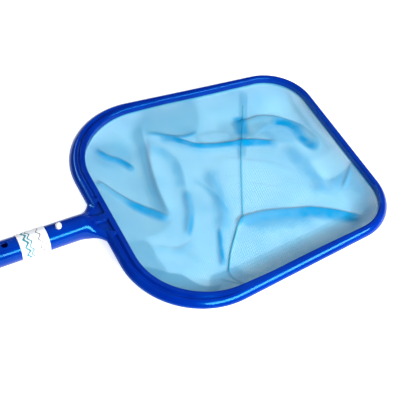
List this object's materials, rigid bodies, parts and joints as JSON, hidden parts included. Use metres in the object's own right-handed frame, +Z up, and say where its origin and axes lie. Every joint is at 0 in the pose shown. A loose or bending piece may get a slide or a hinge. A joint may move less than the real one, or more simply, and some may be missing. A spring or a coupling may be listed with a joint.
{
  "type": "leaf skimmer net",
  "caption": "Flat pool leaf skimmer head: rounded blue frame moulded in one with a short tubular handle, shallow fine-mesh net bag, sprung two-button pole clip.",
  "frame": {"origin": "middle of the bounding box's bottom face, on the surface the tool lies on", "axes": "+X from the handle to the far end of the head, +Y across the head, +Z up through the open side of the net"},
  "size_m": [0.473, 0.317, 0.0389],
  "materials": {
    "royal_blue_plastic": "glossy moulded polypropylene",
    "pale_blue_net": "fine translucent woven mesh",
    "label_paper": "white sticker with a plain printed pattern",
    "white_nylon": "natural white nylon"
  },
  "bodies": {
    "head": {"frame": "royal_blue_plastic", "retaining_ring": "royal_blue_plastic", "hem_band": "pale_blue_net", "net_bag": "pale_blue_net", "bottom_seam": "pale_blue_net", "label": "label_paper", "clip_bend": "white_nylon"},
    "clip_upper": {"clip_leg_upper": "white_nylon"},
    "clip_lower": {"clip_leg_lower": "white_nylon"}
  },
  "joints": [
    {"name": "upper_button_press", "type": "hinge", "parent": "head", "child": "clip_upper", "pos_m": [-0.187, 0, 0.02984], "axis": [0, 1, 0], "range_deg": [0, 6.6], "stiffness_Nm_per_rad": 1, "springref_deg": -6.88},
    {"name": "lower_button_press", "type": "hinge", "parent": "head", "child": "clip_lower", "pos_m": [-0.187, 0, 0.00906], "axis": [0, -1, 0], "range_deg": [0, 6.6], "stiffness_Nm_per_rad": 1, "springref_deg": -6.88}
  ]
}
